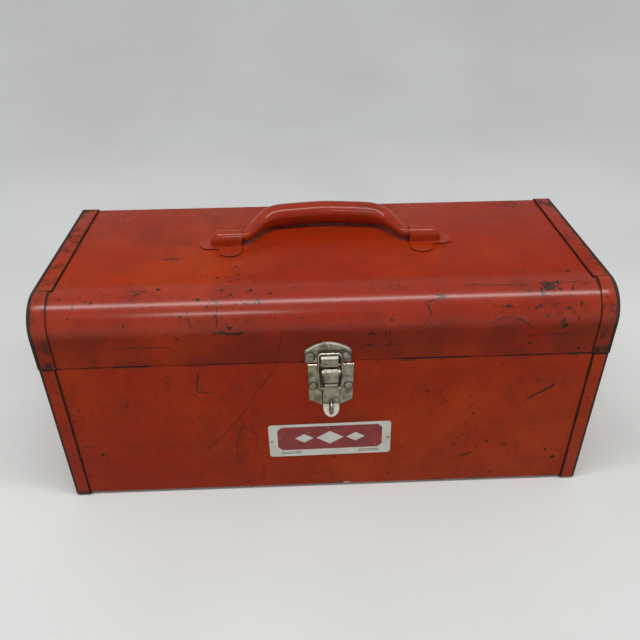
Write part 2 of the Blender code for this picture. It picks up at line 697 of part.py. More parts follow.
def make_base_plate():
    """The body's half of the latch: a plate with a rolled lip, two ears for the lever pin and its rivets."""
    half = [(BASE_POINT_HALF, BASE_BOTTOM), (PLATE_HALF - BASE_TAPER, BASE_SIDE_BOTTOM), (PLATE_HALF, BASE_TOP)]
    plate = prism(mirrored(half, LATCH_X), out(GAP), out(PLATE_FRONT), "Y", "plate")
    base = add_part("latch_base_plate", plate, NICKEL)
    lip_z = BASE_TOP - BASE_LIP_RADIUS / 2
    lip = rod(BASE_LIP_RADIUS, (LATCH_X - PLATE_HALF, out(PLATE_FRONT), lip_z),
              (LATCH_X + PLATE_HALF, out(PLATE_FRONT), lip_z), 12)
    combine(base, "lip", lip, "UNION")
    ear = [(PLATE, LEVER_PIVOT_Z - EAR_ROUND)]
    ear += arc((LEVER_PIVOT_OUT, LEVER_PIVOT_Z), EAR_ROUND, -90, 90, 8)
    ear += [(PLATE, LEVER_PIVOT_Z + EAR_ROUND)]
    ears = []
    for side in (-1, 1):
        low, high = sorted((side * (BLOCK_HALF + GAP), side * (BLOCK_HALF + GAP + SHEET)))
        ears.append(prism([(out(o), z) for o, z in ear], LATCH_X + low, LATCH_X + high, "X"))
    combine(base, "ears", join_meshes(ears, "ears"), "UNION")
    holes = [front_holes([(LATCH_X + s * RIVET_X, BASE_RIVET_Z) for s in (-1, 1)], RIVET_HOLE, "rivet_holes"),
             front_holes([(LATCH_X, z) for z in (STAPLE_LOW, STAPLE_HIGH)], STAPLE_WIRE + GAP / 2, "staple"),
             pivot_rod(PIN_HOLE, PLATE_HALF / 2)]
    combine(base, "holes", join_meshes(holes, "holes"), "DIFFERENCE")
    for side, word in ((-1, "left"), (1, "right")):
        rivet(f"latch_base_rivet_{word}", LATCH_X + side * RIVET_X, BASE_RIVET_Z, PLATE_FRONT,
              BASE_RIVET_HEAD, RIVET_SHANK, NICKEL)
    pin = pivot_rod(PIN_RADIUS, BLOCK_HALF + 3 * GAP + SHEET, "latch_lever_pin")
    add_part("latch_lever_pin", pin, NICKEL)


def make_lever():
    """The lever: a raised block around its pin, a waist, and a tongue with a flared tip and a slot."""
    side = [(LEVER_BACK, BLOCK_TOP), (BLOCK_OUT - BLOCK_EASE, BLOCK_TOP), (BLOCK_OUT, BLOCK_TOP - BLOCK_EASE),
            (BLOCK_OUT, BLOCK_BOTTOM), (WAIST_OUT, BLOCK_BOTTOM - SHEET / 2), (WAIST_OUT, TONGUE_TOP),
            (TONGUE_OUT - TONGUE_EASE / 2, TONGUE_TOP - TONGUE_EASE / 4), (TONGUE_OUT, TONGUE_TOP - TONGUE_EASE),
            (TONGUE_OUT, FLARE_Z + SHEET), (TONGUE_OUT - SHEET / 4, FLARE_Z),
            (FLARE_OUT, LEVER_TIP), (FLARE_OUT - SHEET, LEVER_TIP), (LEVER_BACK, FLARE_Z - SHEET)]
    lever = add_part("latch_lever", side_prism(side, LATCH_X, LEVER_HALF + SHEET, "lever"), NICKEL)
    tip = arc((0, LEVER_TIP + LEVER_HALF), LEVER_HALF, -90, 0, 6)
    front = tip + [(LEVER_HALF, WAIST_BOTTOM), (WAIST_HALF, TONGUE_TOP - TONGUE_EASE),
                   (WAIST_HALF, BLOCK_BOTTOM - GAP), (BLOCK_HALF, BLOCK_BOTTOM), (BLOCK_HALF, BLOCK_TOP + SHEET)]
    combine(lever, "front_view", prism(mirrored(front, LATCH_X), out(0), out(2 * FLARE_OUT), "Y"), "INTERSECT")
    slot = arc((LATCH_X, SLOT_LOW + SLOT_HALF), SLOT_HALF, 180, 360, 6)
    slot += arc((LATCH_X, SLOT_HIGH - SLOT_HALF), SLOT_HALF, 0, 180, 6)
    cuts = [prism(slot, out(0), out(2 * FLARE_OUT), "Y"), pivot_rod(PIN_HOLE, PLATE_HALF / 2)]
    for side_sign in (-1, 1):
        inner, outer = (LATCH_X + side_sign * reach for reach in (WAIST_HALF - SHEET / 2, LEVER_HALF + SHEET))
        cuts.append(rod(WIRE_RADIUS + GAP / 2, (inner, out(BAIL_PIVOT_OUT), BAIL_PIVOT_Z),
                        (outer, out(BAIL_PIVOT_OUT), BAIL_PIVOT_Z), 12))
    combine(lever, "cuts", join_meshes(cuts, "cuts"), "DIFFERENCE")
    hang(lever, LEVER_PIVOT)
    for modifier in lever.modifiers:
        modifier.object.data.transform(Matrix.Translation(-Vector(LEVER_PIVOT[1])))
        modifier.object.parent = lever.parent


def wire(name, points, radius, finish):
    """A round wire bent along a line of points, with closed ends."""
    curve = bpy.data.curves.new(name, "CURVE")
    curve.dimensions = "3D"
    curve.bevel_depth = radius
    curve.bevel_resolution = 2
    curve.use_fill_caps = True
    spline = curve.splines.new("POLY")
    spline.points.add(len(points) - 1)
    for point, place in zip(spline.points, points):
        point.co = (*place, 1)
    part = bpy.data.objects.new(name, curve)
    PARTS.objects.link(part)
    curve.materials.append(make_material(name, *finish))
    return part


def make_bail():
    """The wire bail, which turns in the lever's sides and pulls down on the strike's hook."""
    height = BAIL_BAR_Z - BAIL_PIVOT_Z
    half = [(-WAIST_HALF, 0, 0), (SHEET - BAIL_LEG_HALF, 0, BAIL_EYE), (-BAIL_LEG_HALF, height / 3, BAIL_BOW),
            (-BAIL_BAR_HALF, height, BAIL_CORNER)]
    corners = half + [(-x, z, radius) for x, z, radius in reversed(half)]
    points = []
    for x, z in rounded(corners, False, 30):
        share = z / height
        points.append((x - BAIL_LEAN * share, (BAIL_PIVOT_OUT - BAIL_BAR_OUT) * share, z))
    bail = wire("latch_bail", points, WIRE_RADIUS, NICKEL)
    bail.location = (LATCH_X, out(BAIL_PIVOT_OUT), BAIL_PIVOT_Z)


def make_staple():
    """The staple that stands through the lever's slot and takes a padlock."""
    corners = [(STAPLE_ROOT, STAPLE_HIGH, 0), (STAPLE_OUT, STAPLE_HIGH, STAPLE_BEND),
               (STAPLE_OUT, STAPLE_LOW, STAPLE_BEND), (STAPLE_ROOT, STAPLE_LOW, 0)]
    points = [(LATCH_X, out(o), z) for o, z in rounded(corners, False, 30)]
    wire("hasp_staple", points, STAPLE_WIRE, NICKEL)


# ---------------------------------------------------------------- nameplate

def name_pins():
    """Where the two pins of the nameplate sit on the front sheet."""
    reach = NAME_WIDTH / 2 - NAME_PIN_INSET
    return [(NAME_X + s * reach * cos(NAME_TILT), NAME_Z + s * reach * sin(NAME_TILT)) for s in (-1, 1)]


def make_nameplate():
    """A thin plate with rounded corners, pinned to the front at its left and right ends."""
    half_x, half_z = NAME_WIDTH / 2, NAME_HEIGHT / 2
    corners = [(-half_x, -half_z, NAME_CORNER), (half_x, -half_z, NAME_CORNER), (half_x, half_z, NAME_CORNER),
               (-half_x, half_z, NAME_CORNER)]
    turned = [(NAME_X + x * cos(NAME_TILT) - z * sin(NAME_TILT), NAME_Z + x * sin(NAME_TILT) + z * cos(NAME_TILT))
              for x, z in rounded(corners)]
    plate = prism(turned, out(GAP), out(GAP + NAME_SHEET), "Y", "nameplate")
    nameplate = add_part("nameplate", plate, SILVER)
    combine(nameplate, "pin_holes", front_holes(name_pins(), NAME_PIN_HOLE, "pin_holes"), "DIFFERENCE")
    for (x, z), word in zip(name_pins(), ("left", "right")):
        rivet(f"nameplate_pin_{word}", x, z, GAP + NAME_SHEET, NAME_PIN_HEAD, NAME_PIN_SHANK, NICKEL, 12)


def clear_scene():
    for item in list(bpy.data.objects):
        bpy.data.objects.remove(item, do_unlink=True)


def new_collection(name):
    collection = bpy.data.collections.new(name)
    bpy.context.scene.collection.children.link(collection)
    return collection


LID_PIVOT = ("lid_pivot", (0, HINGE_Y, HINGE_Z))
LEVER_PIVOT = ("lever_pivot", (LATCH_X, out(LEVER_PIVOT_OUT), LEVER_PIVOT_Z))

clear_scene()
PARTS = new_collection("tool_box")
CUTTERS = new_collection("cutters")
make_body()
make_lid()
make_hinge()
make_handle()
make_strike()
make_base_plate()
make_lever()
make_bail()
make_staple()
make_nameplate()
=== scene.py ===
"""The looks of the tool box: worn red-orange enamel, nickel latch hardware and a printed nameplate."""

import json
from math import cos, pi, radians, sin

import bmesh
import bpy
from mathutils import Matrix, Vector


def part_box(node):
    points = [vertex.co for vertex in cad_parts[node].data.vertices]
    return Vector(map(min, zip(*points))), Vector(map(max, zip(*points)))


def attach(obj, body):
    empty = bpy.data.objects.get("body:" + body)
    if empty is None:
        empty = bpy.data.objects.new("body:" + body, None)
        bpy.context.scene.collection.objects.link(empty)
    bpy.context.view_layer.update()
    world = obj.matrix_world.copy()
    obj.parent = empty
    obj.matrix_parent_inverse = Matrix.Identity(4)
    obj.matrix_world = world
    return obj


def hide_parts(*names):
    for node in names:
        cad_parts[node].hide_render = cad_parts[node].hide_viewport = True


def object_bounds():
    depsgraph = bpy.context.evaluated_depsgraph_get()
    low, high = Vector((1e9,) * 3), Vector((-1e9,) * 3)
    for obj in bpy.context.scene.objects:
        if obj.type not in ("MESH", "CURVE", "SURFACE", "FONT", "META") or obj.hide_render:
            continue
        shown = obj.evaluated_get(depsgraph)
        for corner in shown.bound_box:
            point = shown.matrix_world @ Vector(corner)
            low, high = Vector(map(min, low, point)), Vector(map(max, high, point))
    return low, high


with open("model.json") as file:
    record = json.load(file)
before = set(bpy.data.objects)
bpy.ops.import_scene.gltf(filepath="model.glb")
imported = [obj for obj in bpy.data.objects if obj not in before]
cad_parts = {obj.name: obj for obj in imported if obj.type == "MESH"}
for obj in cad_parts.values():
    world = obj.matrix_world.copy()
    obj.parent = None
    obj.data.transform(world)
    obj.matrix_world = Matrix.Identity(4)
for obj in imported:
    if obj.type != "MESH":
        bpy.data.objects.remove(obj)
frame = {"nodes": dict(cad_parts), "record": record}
CAD_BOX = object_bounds()

# ---------------------------------------------------------------- sizes read from the frame

BODY_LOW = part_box("body_wrap")[0]
BODY_END_LOW, BODY_END_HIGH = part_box("body_end_right")
LID_END_LOW, LID_END_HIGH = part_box("lid_end_right")
NAME_LOW, NAME_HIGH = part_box("nameplate")
LATCH_LOW, LATCH_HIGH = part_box("latch_base_plate")
LEVER_LOW, LEVER_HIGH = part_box("latch_lever")
BAIL_LOW, BAIL_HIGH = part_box("latch_bail")
STRIKE_TOP_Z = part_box("strike_plate")[1].z
FOOT_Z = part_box("handle_bracket_left")[0].z

SEAM_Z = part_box("lid_wrap")[0].z
TOP_Z = LID_END_HIGH.z
FRONT_Y = LID_END_LOW.y
BODY_END_X = BODY_END_HIGH.x
LID_END_X = LID_END_HIGH.x
BODY_FLANGE_X = BODY_END_LOW.x
LID_FLANGE_X = LID_END_LOW.x
LATCH_X = (LATCH_LOW.x + LATCH_HIGH.x) / 2
NAME_MIDDLE = (NAME_LOW + NAME_HIGH) / 2

# Two sizes that no box shows, as in the part's source.
ARC_RADIUS = 0.0293  # outer radius of the lid's front curve
BAIL_WIRE = 0.0024  # thickness of the bail's wire
CREST_Y = FRONT_Y + ARC_RADIUS  # where the lid's curve meets its flat top

# ---------------------------------------------------------------- colours, linear

RED = (0.262, 0.0165, 0.0025, 1.0)
ORANGE = (0.325, 0.032, 0.0030, 1.0)
DULL_RED = (0.170, 0.016, 0.005, 1.0)
PRIMER = (0.62, 0.57, 0.48, 1.0)
RUBBED = (0.42, 0.10, 0.06, 1.0)
# Dark soiling, also painted on the latch plates as shade
GRIME_AND_SHADE = (0.026, 0.010, 0.006, 1.0)
# Bare metal, also painted as shade along flanges and bracket feet
BARE_AND_SHADE = (0.020, 0.014, 0.011, 1.0)
NICKEL = (0.34, 0.31, 0.23, 1.0)
NICKEL_DULL = (0.15, 0.135, 0.095, 1.0)
# Bright nickel for scratches, also painted on as a highlight
NICKEL_SCRATCH_AND_HIGHLIGHT = (0.72, 0.69, 0.60, 1.0)
STEEL = (0.30, 0.29, 0.28, 1.0)
RUST = (0.11, 0.042, 0.017, 1.0)
SILVER = (0.60, 0.60, 0.56, 1.0)
SILVER_YELLOWED = (0.52, 0.51, 0.44, 1.0)
PRINT_RED = (0.23, 0.012, 0.012, 1.0)
PRINT_BLACK = (0.035, 0.030, 0.028, 1.0)
CLOTH = (0.70, 0.72, 0.72, 1.0)
CLOTH_DIM = (0.64, 0.655, 0.655, 1.0)
SURROUND = (0.94, 0.97, 1.0, 1.0)
WARM_LIGHT = (1.0, 0.97, 0.93)
WARMER_LIGHT = (1.0, 0.96, 0.90)
COOL_LIGHT = (0.96, 0.98, 1.0)


# ---------------------------------------------------------------- node helpers

class Graph:
    """Short names for the shader nodes that the materials are built from."""

    def __init__(self, name):
        self.material = bpy.data.materials.new(name)
        self.material.use_nodes = True
        self.tree = self.material.node_tree
        self.shader = self.tree.nodes["Principled BSDF"]
        coordinates = self.add("ShaderNodeTexCoord")
        self.place = coordinates.outputs["Object"]
        self.x, self.y, self.z = self.split(self.place)
        self.facing = self.split(coordinates.outputs["Normal"])
        self.shared = {}

    def add(self, kind, **settings):
        node = self.tree.nodes.new(kind)
        for name, value in settings.items():
            setattr(node, name, value)
        return node

    def split(self, vector):
        node = self.add("ShaderNodeSeparateXYZ")
        self.tree.links.new(vector, node.inputs[0])
        return tuple(node.outputs)

    def link(self, value, socket):
        """Feed a socket from an output, or set it to a plain value."""
        if isinstance(value, bpy.types.NodeSocket):
            self.tree.links.new(value, socket)
        else:
            socket.default_value = value

    def math(self, operation, one, other=0.0):
        node = self.add("ShaderNodeMath", operation=operation)
        for value, socket in zip((one, other), node.inputs):
            self.link(value, socket)
        return node.outputs[0]

    def stretch(self, scale, turn=(0, 0, 0)):
        """The object's coordinates, turned and then scaled along each axis."""
        node = self.add("ShaderNodeMapping")
        self.link(self.place, node.inputs["Vector"])
        node.inputs["Rotation"].default_value = turn
        node.inputs["Scale"].default_value = scale
        return node.outputs[0]

    def noise(self, scale, detail=3.0, roughness=0.55, distortion=0.0, place=None):
        node = self.add("ShaderNodeTexNoise")
        self.link(place or self.place, node.inputs["Vector"])
        node.inputs["Scale"].default_value = scale
        node.inputs["Detail"].default_value = detail
        node.inputs["Roughness"].default_value = roughness
        node.inputs["Distortion"].default_value = distortion
        return node.outputs["Fac"]

    def shared_noise(self, scale, detail, roughness=0.55):
        """A noise that all the marks of one material can use."""
        key = (scale, detail, roughness)
        if key not in self.shared:
            self.shared[key] = self.noise(scale, detail, roughness)
        return self.shared[key]

    def cracks(self, scale, warp, warp_scale):
        """Distance to the edges of irregular cells, which reads as long wandering lines."""
        shift = self.add("ShaderNodeTexNoise")
        self.link(self.place, shift.inputs["Vector"])
        shift.inputs["Scale"].default_value = warp_scale
        shift.inputs["Detail"].default_value = 3.0
        moved = self.add("ShaderNodeVectorMath", operation="MULTIPLY_ADD")
        self.link(shift.outputs["Color"], moved.inputs[0])
        moved.inputs[1].default_value = (warp, warp, warp)
        self.link(self.place, moved.inputs[2])
        cells = self.add("ShaderNodeTexVoronoi", feature="DISTANCE_TO_EDGE")
        self.link(moved.outputs[0], cells.inputs["Vector"])
        cells.inputs["Scale"].default_value = scale
        return cells.outputs["Distance"]

    def band(self, value, low, high, start=0.0, end=1.0):
        """A smooth step from start to end as the value goes from low to high."""
        node = self.add("ShaderNodeMapRange", interpolation_type="SMOOTHSTEP")
        for item, socket in zip((value, low, high, start, end), node.inputs):
            self.link(item, socket)
        return node.outputs[0]

    def fade(self, value, low, high):
        """A smooth step from 1 down to 0 as the value goes from low to high."""
        return self.band(value, low, high, 1.0, 0.0)

    def away(self, one, other):
        """How far apart two values are."""
        return self.math("ABSOLUTE", self.math("SUBTRACT", one, other))

    def dot(self, parts, others):
        """The sum of the products of two vectors' parts."""
        products = [self.math("MULTIPLY", part, other) for part, other in zip(parts, others)]
        total = products[0]
        for product in products[1:]:
            total = self.math("ADD", total, product)
        return total

    def hypot(self, one, other):
        """The length of a step with these two parts."""
        return self.math("SQRT", self.dot((one, other), (one, other)))

    def times(self, *values):
        product = values[0]
        for value in values[1:]:
            product = self.math("MULTIPLY", product, value)
        return product

    def largest(self, *values):
        top = values[0]
        for value in values[1:]:
            top = self.math("MAXIMUM", top, value)
        return top

    def mix(self, share, one, other):
        node = self.add("ShaderNodeMix", data_type="RGBA")
        self.link(share, node.inputs[0])
        self.link(one, node.inputs[6])
        self.link(other, node.inputs[7])
        return node.outputs[2]

    def blend(self, share, one, other):
        node = self.add("ShaderNodeMix", data_type="FLOAT")
        self.link(share, node.inputs[0])
        self.link(one, node.inputs[2])
        self.link(other, node.inputs[3])
        return node.outputs[0]

    def line_mark(self, across, up, start, end, width, bow=0.0, ragged=0.3):
        """A scratch from start to end in the plane of two coordinates, bowed sideways in its middle."""
        run = Vector((end[0] - start[0], end[1] - start[1]))
        length = run.length
        along_unit = run / length
        side_unit = Vector((-along_unit.y, along_unit.x))
        dx = self.math("SUBTRACT", across, start[0])
        dz = self.math("SUBTRACT", up, start[1])
        along = self.dot((dx, dz), along_unit)
        side = self.dot((dx, dz), side_unit)
        share = self.math("DIVIDE", along, length)
        hump = self.math("MULTIPLY", share, self.math("SUBTRACT", 1.0, share))
        bowed = self.math("SUBTRACT", side, self.math("MULTIPLY", hump, 4.0 * bow))
        wander = self.math("MULTIPLY", self.math("SUBTRACT", self.shared_noise(90.0, 2.0), 0.5), width * 4.0)
        offset = self.math("ABSOLUTE", self.math("ADD", bowed, wander))
        inside = self.times(self.fade(offset, width * 0.5, width), self.band(share, 0.0, 0.03),
                            self.fade(share, 0.97, 1.0))
        return self.math("MULTIPLY", inside, self.band(self.shared_noise(260.0, 2.0), ragged, ragged + 0.15))

    def patch(self, across, up, middle, size, edge=0.35):
        """A ragged chip of roughly that size around a place in the plane of two coordinates."""
        dx = self.math("DIVIDE", self.math("SUBTRACT", across, middle[0]), size[0])
        dz = self.math("DIVIDE", self.math("SUBTRACT", up, middle[1]), size[1])
        reach = self.hypot(dx, dz)
        tear = self.math("MULTIPLY", self.math("SUBTRACT", self.shared_noise(240.0, 4.0, 0.7), 0.5), 3.2)
        return self.fade(self.math("ADD", reach, tear), edge, edge + 0.12)

    def bump(self, height, distance, strength=1.0, normal=None):
        node = self.add("ShaderNodeBump")
        self.link(height, node.inputs["Height"])
        node.inputs["Distance"].default_value = distance
        node.inputs["Strength"].default_value = strength
        if normal is not None:
            self.link(normal, node.inputs["Normal"])
        return node.outputs[0]

    def finish(self, colour, roughness, metallic=0.0, normal=None):
        self.link(colour, self.shader.inputs["Base Color"])
        self.link(roughness, self.shader.inputs["Roughness"])
        self.link(metallic, self.shader.inputs["Metallic"])
        if normal is not None:
            self.link(normal, self.shader.inputs["Normal"])
        return self.material


# ---------------------------------------------------------------- enamel

PLAIN_COAT = 0.07  # clear coat of the sheets and the hinge
HANDLE_COAT = 0.5  # clear coat of the handle and its brackets
POLISHED_COAT = 0.65  # clear coat where sleeves and cloths have polished the sheets
SHADE_AND_SOIL_LINE = 0.0011  # width of the line of painted shadow and soiling next to a flange


def enamel_base(g):
    """Sun-dulled enamel: it drifts between red and orange, and is grimy where hands lift the lid."""
    drift = g.band(g.noise(7.0, 4.0, 0.6), 0.35, 0.68)
    mottle = g.band(g.noise(46.0, 5.0, 0.65), 0.38, 0.72)
    colour = g.mix(drift, RED, ORANGE)
    colour = g.mix(g.times(mottle, 0.45), colour, DULL_RED)
    film = g.times(g.band(g.noise(19.0, 6.0, 0.7, 0.6), 0.52, 0.75), 0.35)
    hands = g.times(g.band(g.z, SEAM_Z - 0.004, SEAM_Z + 0.001),
                    g.fade(g.z, SEAM_Z + 0.026, SEAM_Z + 0.040),
                    g.band(g.noise(24.0, 4.0), 0.2, 0.6), 0.42)
    return g.mix(g.largest(film, hands), colour, GRIME_AND_SHADE)


def outside(g):
    """1 on the outer faces of the box and 0 on its inner faces."""
    height = g.math("SUBTRACT", g.z, TOP_Z / 2)
    return g.band(g.dot((g.x, g.y, height), g.facing), 0.0, 0.01)


def chips(g, crowding, extra=None):
    """Dark flecks where the enamel is knocked off, gathered in patches and along the front curve."""
    curve_high = g.band(g.z, TOP_Z - ARC_RADIUS * 1.3, TOP_Z - ARC_RADIUS * 0.5)
    curve_front = g.fade(g.y, FRONT_Y + ARC_RADIUS * 0.8, FRONT_Y + ARC_RADIUS * 1.5)
    curve = g.times(curve_high, curve_front)
    crowd = g.math("ADD", g.math("ADD", g.noise(9.0, 2.0), crowding), g.times(curve, 0.09))
    crowd = g.math("ADD", crowd, g.blend(outside(g), -0.15, 0.0))
    flecks = g.noise(170.0, 4.0, 0.62)
    level = g.blend(g.band(crowd, 0.42, 0.72), 0.715, 0.600)
    small = g.band(g.math("SUBTRACT", flecks, level), 0.0, 0.018)
    specks = g.band(g.noise(380.0, 2.0, 0.5), 0.700, 0.720)
    found = g.largest(small, specks)
    return g.largest(found, extra) if extra is not None else found


def scratches(g):
    """Broken hairlines in several directions."""
    long_lines = g.fade(g.cracks(6.5, 0.05, 9.0), 0.0022, 0.0042)
    long_lines = g.times(long_lines, g.band(g.noise(16.0, 3.0), 0.60, 0.66))
    short_lines = g.fade(g.cracks(17.0, 0.03, 24.0), 0.0035, 0.0085)
    short_lines = g.times(short_lines, g.band(g.noise(31.0, 3.0), 0.60, 0.66))
    return g.largest(long_lines, short_lines)


def scuffs(g):
    """Fine pale rub marks, mostly level, which catch the light."""
    level = g.noise(1.0, 3.0, 0.6, place=g.stretch((14.0, 60.0, 620.0), (0, radians(4), 0)))
    slanted = g.noise(1.0, 3.0, 0.6, place=g.stretch((18.0, 60.0, 520.0), (0, radians(-32), 0)))
    return g.largest(g.band(level, 0.70, 0.76), g.band(slanted, 0.73, 0.79))


def curve_shine(g):
    """Where sleeves and cloths have polished the lid's front curve."""
    return g.times(g.band(g.z, TOP_Z - ARC_RADIUS * 1.1, TOP_Z - ARC_RADIUS * 0.7),
                   g.fade(g.y, CREST_Y - 0.002, CREST_Y + 0.012), outside(g))


def enamel(name, marks=None, dark_edges=None, coat=PLAIN_COAT, crowding=0.0, shine=None, primer=None):
    """Worn enamel.

    Marks returns the piece's own scratches and chips, dark_edges its worn edges and the painted shade
    along edges, shine where it is polished and primer where it is chipped down to the pale primer.
    """
    g = Graph(name)
    colour = enamel_base(g)
    rubs = g.times(scuffs(g), 0.24)
    colour = g.mix(rubs, colour, RUBBED)
    own = marks(g) if marks else None
    worn = g.largest(chips(g, crowding, own), g.times(scratches(g), 0.5))
    colour = g.mix(worn, colour, BARE_AND_SHADE)
    if dark_edges:
        # Worn edges, plus painted shade along flanges and bracket feet, painted towards near black.
        edges = dark_edges(g)
        colour = g.mix(g.times(edges, 0.93), colour, BARE_AND_SHADE)
        worn = g.largest(worn, g.times(edges, 0.6))
    if primer:
        colour = g.mix(primer(g), colour, PRIMER)
    gloss = g.blend(g.band(g.noise(12.0, 5.0, 0.6), 0.35, 0.7), 0.26, 0.42)
    gloss = g.blend(rubs, gloss, 0.6)
    roughness = g.blend(worn, gloss, 0.72)
    waves = g.bump(g.noise(13.0, 2.0), 0.006, 0.35)
    peel = g.bump(g.noise(900.0, 2.0), 0.0002, 0.16, waves)
    normal = g.bump(g.math("SUBTRACT", 1.0, worn), 0.00022, 0.9, peel)
    g.shader.inputs["Specular IOR Level"].default_value = 0.05
    g.link(g.blend(shine(g), coat, POLISHED_COAT) if shine else coat, g.shader.inputs["Coat Weight"])
    g.shader.inputs["Coat Roughness"].default_value = 0.20
    return g.finish(colour, roughness, 0.0, normal)


def flange_shade_and_soil(g, edge_x, width):
    """Painted shadow and soiling in a line just inside a pair of vertical edges at plus and minus edge_x, the
    shadow cast where a flange stands proud.
    """
    inward = g.math("SUBTRACT", edge_x, g.math("ABSOLUTE", g.x))
    waver = g.math("MULTIPLY", g.math("SUBTRACT", g.noise(120.0, 3.0), 0.5), width * 0.9)
    return g.times(g.fade(g.math("ADD", inward, waver), width * 0.5, width), outside(g))


def marks_at(g, across, up, lines, patches):
    """Scratches given as (start, end, width, bow) and chips given as (middle, size, edge)."""
    found = [g.line_mark(across, up, *line) for line in lines]
    found += [g.patch(across, up, *patch) for patch in patches]
    return g.largest(*found)


def on_front(g):
    """Only the outside of the front sheet."""
    return g.fade(g.y, BODY_LOW.y + 0.0004, BODY_LOW.y + 0.0006)


def front_marks(g):
    """The scratches and worn spots of the body's front, measured from below the latch at the seam."""
    lines = [
        ((-0.044, 0.000), (-0.064, -0.030), 0.00035, 0.001),  # a long curved hairline
        ((-0.064, -0.030), (-0.114, -0.098), 0.00035, 0.004),
        ((-0.113, -0.008), (-0.116, -0.029), 0.0007, 0.0),  # an angle of two strokes
        ((-0.116, -0.030), (-0.102, -0.031), 0.0008, 0.0),
        ((0.198, -0.033), (0.177, -0.049), 0.0013, 0.0005),  # a deep slanted score and its faint tail
        ((0.179, -0.046), (0.168, -0.061), 0.0006, 0.0),
        ((0.098, -0.045), (0.105, -0.050), 0.0004, 0.0),
        ((0.129, -0.052), (0.122, -0.062), 0.0004, 0.0),
        ((0.123, -0.117), (0.132, -0.115), 0.0009, 0.0),
        ((-0.063, -0.121), (-0.064, -0.139), 0.0004, 0.0),
        ((-0.064, -0.139), (-0.100, -0.148), 0.0004, 0.0),
        ((-0.227, -0.090), (-0.214, -0.090), 0.0006, 0.0),
        ((-0.023, -0.136), (-0.001, -0.132), 0.0004, 0.001),
    ]
    patches = [
        ((-0.180, -0.043), (0.0060, 0.0016), 0.30),
        ((-0.172, -0.058), (0.0025, 0.0015), 0.40),
        ((-0.210, -0.100), (0.0026, 0.0016), 0.60),
        ((-0.070, -0.058), (0.0018, 0.0012), 0.60),
        ((0.086, -0.037), (0.0040, 0.0014), 0.30),
        ((0.142, -0.009), (0.0035, 0.0018), 0.30),
        ((0.068, -0.002), (0.0090, 0.0016), 0.30),
        ((0.214, -0.123), (0.0060, 0.0030), 0.30),
        ((0.204, -0.113), (0.0014, 0.0040), 0.40),
    ]
    across, up = g.math("SUBTRACT", g.x, LATCH_X), g.math("SUBTRACT", g.z, SEAM_Z)
    low = g.times(g.fade(g.z, BODY_LOW.z + 0.003, BODY_LOW.z + 0.006),
                  g.band(g.noise(38.0, 4.0), 0.52, 0.60))
    return g.times(g.largest(low, marks_at(g, across, up, lines, patches)), on_front(g))


def front_primer(g):
    """A chip down to the primer at the bottom edge of the front."""
    chip = g.patch(g.x, g.z, (LATCH_X + 0.016, BODY_LOW.z + 0.004), (0.0070, 0.0022), 0.45)
    return g.times(chip, on_front(g))


def along_lid(g):
    """How far a place lies along the lid's outer side, from where the curve leaves the upright skirt."""
    rise = g.math("SUBTRACT", g.z, TOP_Z - ARC_RADIUS)
    back = g.math("SUBTRACT", g.y, CREST_Y)
    forward = g.math("MAXIMUM", g.math("MULTIPLY", back, -1.0), 1e-6)
    turn = g.math("ARCTAN2", g.math("MAXIMUM", rise, 0.0), forward)
    flat = g.math("ADD", g.math("MINIMUM", rise, 0.0), g.math("MAXIMUM", back, 0.0))
    return g.math("ADD", g.math("MULTIPLY", turn, ARC_RADIUS), flat)


def lid_marks(g):
    """The scratches and chips of the lid, measured from the latch and along the curve."""
    lines = [
        ((-0.092, 0.026), (-0.093, 0.006), 0.0005, 0.0),
        ((-0.117, 0.022), (-0.114, 0.006), 0.0005, 0.0005),
        ((-0.096, 0.001), (-0.071, 0.001), 0.0015, 0.0),  # a dark level knock
        ((-0.185, -0.012), (-0.132, -0.012), 0.0004, 0.001),
        ((-0.040, 0.004), (-0.045, -0.030), 0.00035, 0.0),
        ((-0.146, 0.097), (-0.132, 0.100), 0.0010, 0.0),
        ((0.093, 0.028), (0.078, 0.023), 0.0007, 0.0),  # a branching flake with a tail
        ((0.078, 0.023), (0.083, 0.012), 0.0009, 0.001),
        ((0.083, 0.012), (0.076, 0.003), 0.0005, 0.0),
        ((0.133, 0.002), (0.149, 0.009), 0.0006, 0.002),
        ((0.149, 0.009), (0.168, -0.003), 0.0006, 0.002),
        ((0.165, -0.011), (0.204, -0.010), 0.0005, 0.001),
        ((0.110, 0.040), (0.165, 0.038), 0.0006, 0.0),  # dashes along the crest
        ((0.190, 0.041), (0.209, 0.040), 0.0004, 0.0),
        ((0.049, 0.002), (0.050, -0.025), 0.0003, 0.0),
    ]
    patches = [
        ((0.182, 0.037), (0.0080, 0.0070), 0.55),  # the big chip
        ((0.093, 0.029), (0.0130, 0.0060), 0.12),
        ((-0.152, 0.043), (0.0070, 0.0035), 0.35),
        ((-0.141, 0.045), (0.0045, 0.0028), 0.40),
        ((-0.164, 0.044), (0.0100, 0.0015), 0.25),
        ((-0.209, 0.028), (0.0020, 0.0030), 0.30),
        ((-0.195, 0.030), (0.0045, 0.0015), 0.20),
        ((-0.168, 0.012), (0.0012, 0.0045), 0.30),
        ((-0.086, 0.024), (0.0080, 0.0025), 0.15),
        ((-0.115, 0.186), (0.0035, 0.0060), 0.15),
        ((0.032, -0.015), (0.0100, 0.0035), 0.15),
        ((0.050, -0.015), (0.0120, 0.0030), 0.20),
        ((0.034, -0.004), (0.0060, 0.0030), 0.35),
        ((0.049, 0.009), (0.0045, 0.0065), 0.15),
        ((0.146, 0.018), (0.0100, 0.0030), 0.12),
        ((0.168, -0.018), (0.0040, 0.0040), 0.15),
    ]
    across = g.math("SUBTRACT", g.x, LATCH_X)
    not_behind = g.fade(g.facing[1], 0.3, 0.5)
    return g.times(marks_at(g, across, along_lid(g), lines, patches), outside(g), not_behind)


